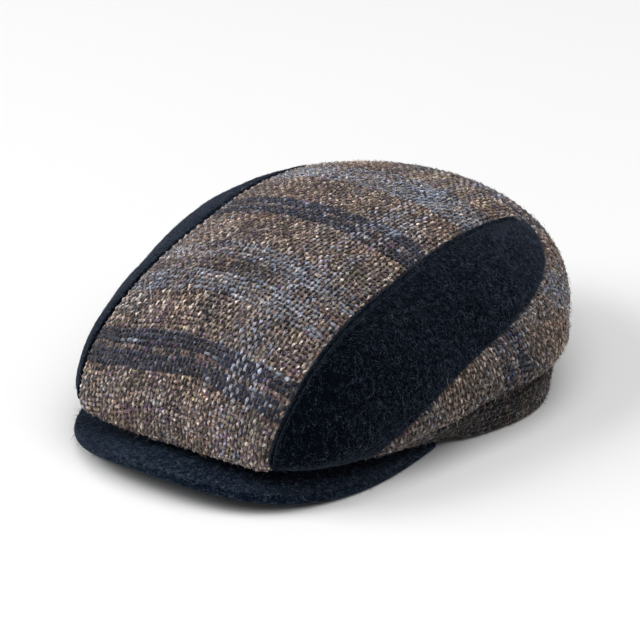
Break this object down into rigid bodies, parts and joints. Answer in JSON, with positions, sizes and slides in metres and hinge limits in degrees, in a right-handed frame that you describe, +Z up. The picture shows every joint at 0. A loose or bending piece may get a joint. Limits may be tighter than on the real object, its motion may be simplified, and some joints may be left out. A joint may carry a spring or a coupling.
{
  "type": "flat cap",
  "caption": "Soft flat cap with a domed plaid tweed crown, plain wool side inserts and a stiff curved peak.",
  "frame": {"origin": "on the table, under the middle of the cap's bounding box", "axes": "+Z up from the hem to the crown's top, +Y from the peak to the back, +X to the wearer's left"},
  "size_m": [0.2216, 0.2669, 0.093],
  "materials": {
    "brown_tweed": "coarse plain-weave wool tweed with a plaid in navy, blue grey and plum",
    "navy_wool": "felted navy wool with fine pale fibres"
  },
  "bodies": {
    "root": {"top_panel": "brown_tweed", "side_insert_left": "navy_wool", "side_insert_right": "navy_wool", "side_panel_left": "brown_tweed", "side_panel_right": "brown_tweed", "peak": "navy_wool"}
  },
  "joints": []
}
